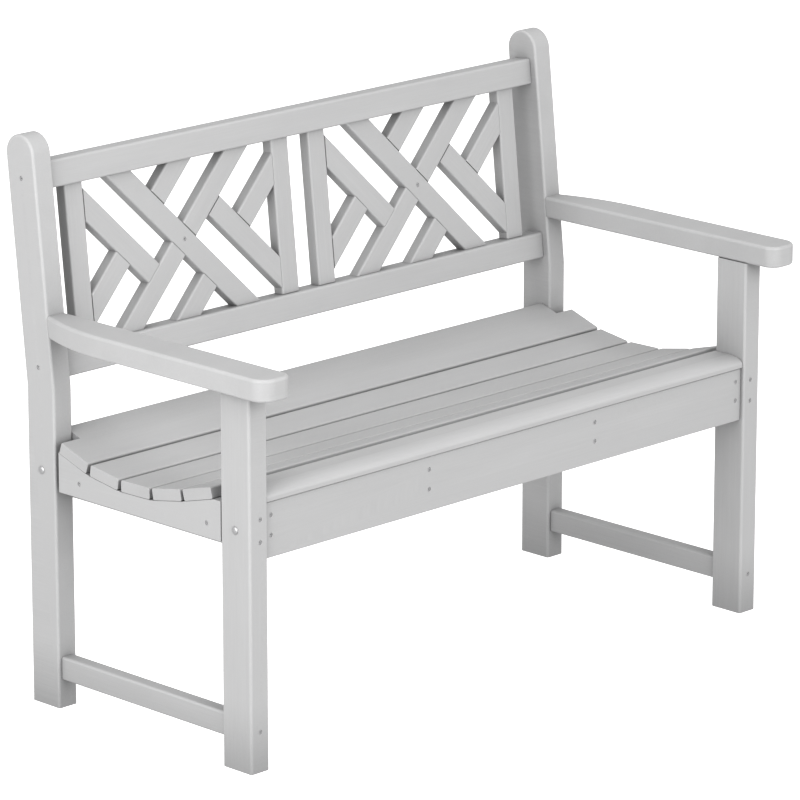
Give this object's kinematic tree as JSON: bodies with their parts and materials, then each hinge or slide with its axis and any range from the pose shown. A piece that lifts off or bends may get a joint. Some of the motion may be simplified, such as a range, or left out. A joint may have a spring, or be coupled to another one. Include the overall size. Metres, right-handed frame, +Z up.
{
  "type": "garden bench",
  "caption": "Two-seat garden bench of solid plastic lumber with a scooped slat seat, flat arms and a raked lattice back.",
  "frame": {"origin": "centre of the bench's footprint box, on the floor", "axes": "+X along the bench to the viewer's right when facing its front, +Y to the back, +Z up"},
  "size_m": [1.22, 0.6065, 0.9228],
  "materials": {
    "lumber": "extruded plastic lumber, light grey, satin with a faint brushed grain along each board",
    "screw": "stainless steel countersunk screws and domed frame bolts"
  },
  "bodies": {
    "root": {"left_front_leg": "lumber", "left_back_post": "lumber", "left_arm": "lumber", "left_side_rail": "lumber", "left_stretcher": "lumber", "left_leg_bolt": "screw", "left_leg_upper_screw": "screw", "left_leg_lower_screw": "screw", "left_end_support": "lumber", "left_mid_support": "lumber", "left_outer_stile": "lumber", "left_inner_stile": "lumber", "left_lattice_main": "lumber", "left_lattice_cross_upper": "lumber", "left_lattice_cross_lower": "lumber", "left_lattice_fall_left": "lumber", "left_lattice_fall_right": "lumber", "left_lattice_rise_top": "lumber", "left_lattice_rise_bottom": "lumber", "left_lattice_rise_left": "lumber", "left_lattice_rise_right": "lumber", "right_front_leg": "lumber", "right_back_post": "lumber", "right_arm": "lumber", "right_side_rail": "lumber", "right_stretcher": "lumber", "right_leg_bolt": "screw", "right_leg_upper_screw": "screw", "right_leg_lower_screw": "screw", "right_end_support": "lumber", "right_mid_support": "lumber", "right_outer_stile": "lumber", "right_inner_stile": "lumber", "right_lattice_main": "lumber", "right_lattice_cross_upper": "lumber", "right_lattice_cross_lower": "lumber", "right_lattice_fall_left": "lumber", "right_lattice_fall_right": "lumber", "right_lattice_rise_top": "lumber", "right_lattice_rise_bottom": "lumber", "right_lattice_rise_left": "lumber", "right_lattice_rise_right": "lumber", "front_apron": "lumber", "rear_cross_rail": "lumber", "top_back_rail": "lumber", "lower_back_rail": "lumber", "seat_slat_1": "lumber", "seat_slat_2": "lumber", "seat_slat_3": "lumber", "seat_slat_4": "lumber", "seat_slat_5": "lumber", "seat_slat_6": "lumber", "apron_screw_1": "screw", "apron_screw_2": "screw", "apron_screw_3": "screw", "apron_screw_4": "screw", "apron_screw_5": "screw", "apron_screw_6": "screw", "apron_screw_7": "screw", "apron_screw_8": "screw"}
  },
  "joints": []
}
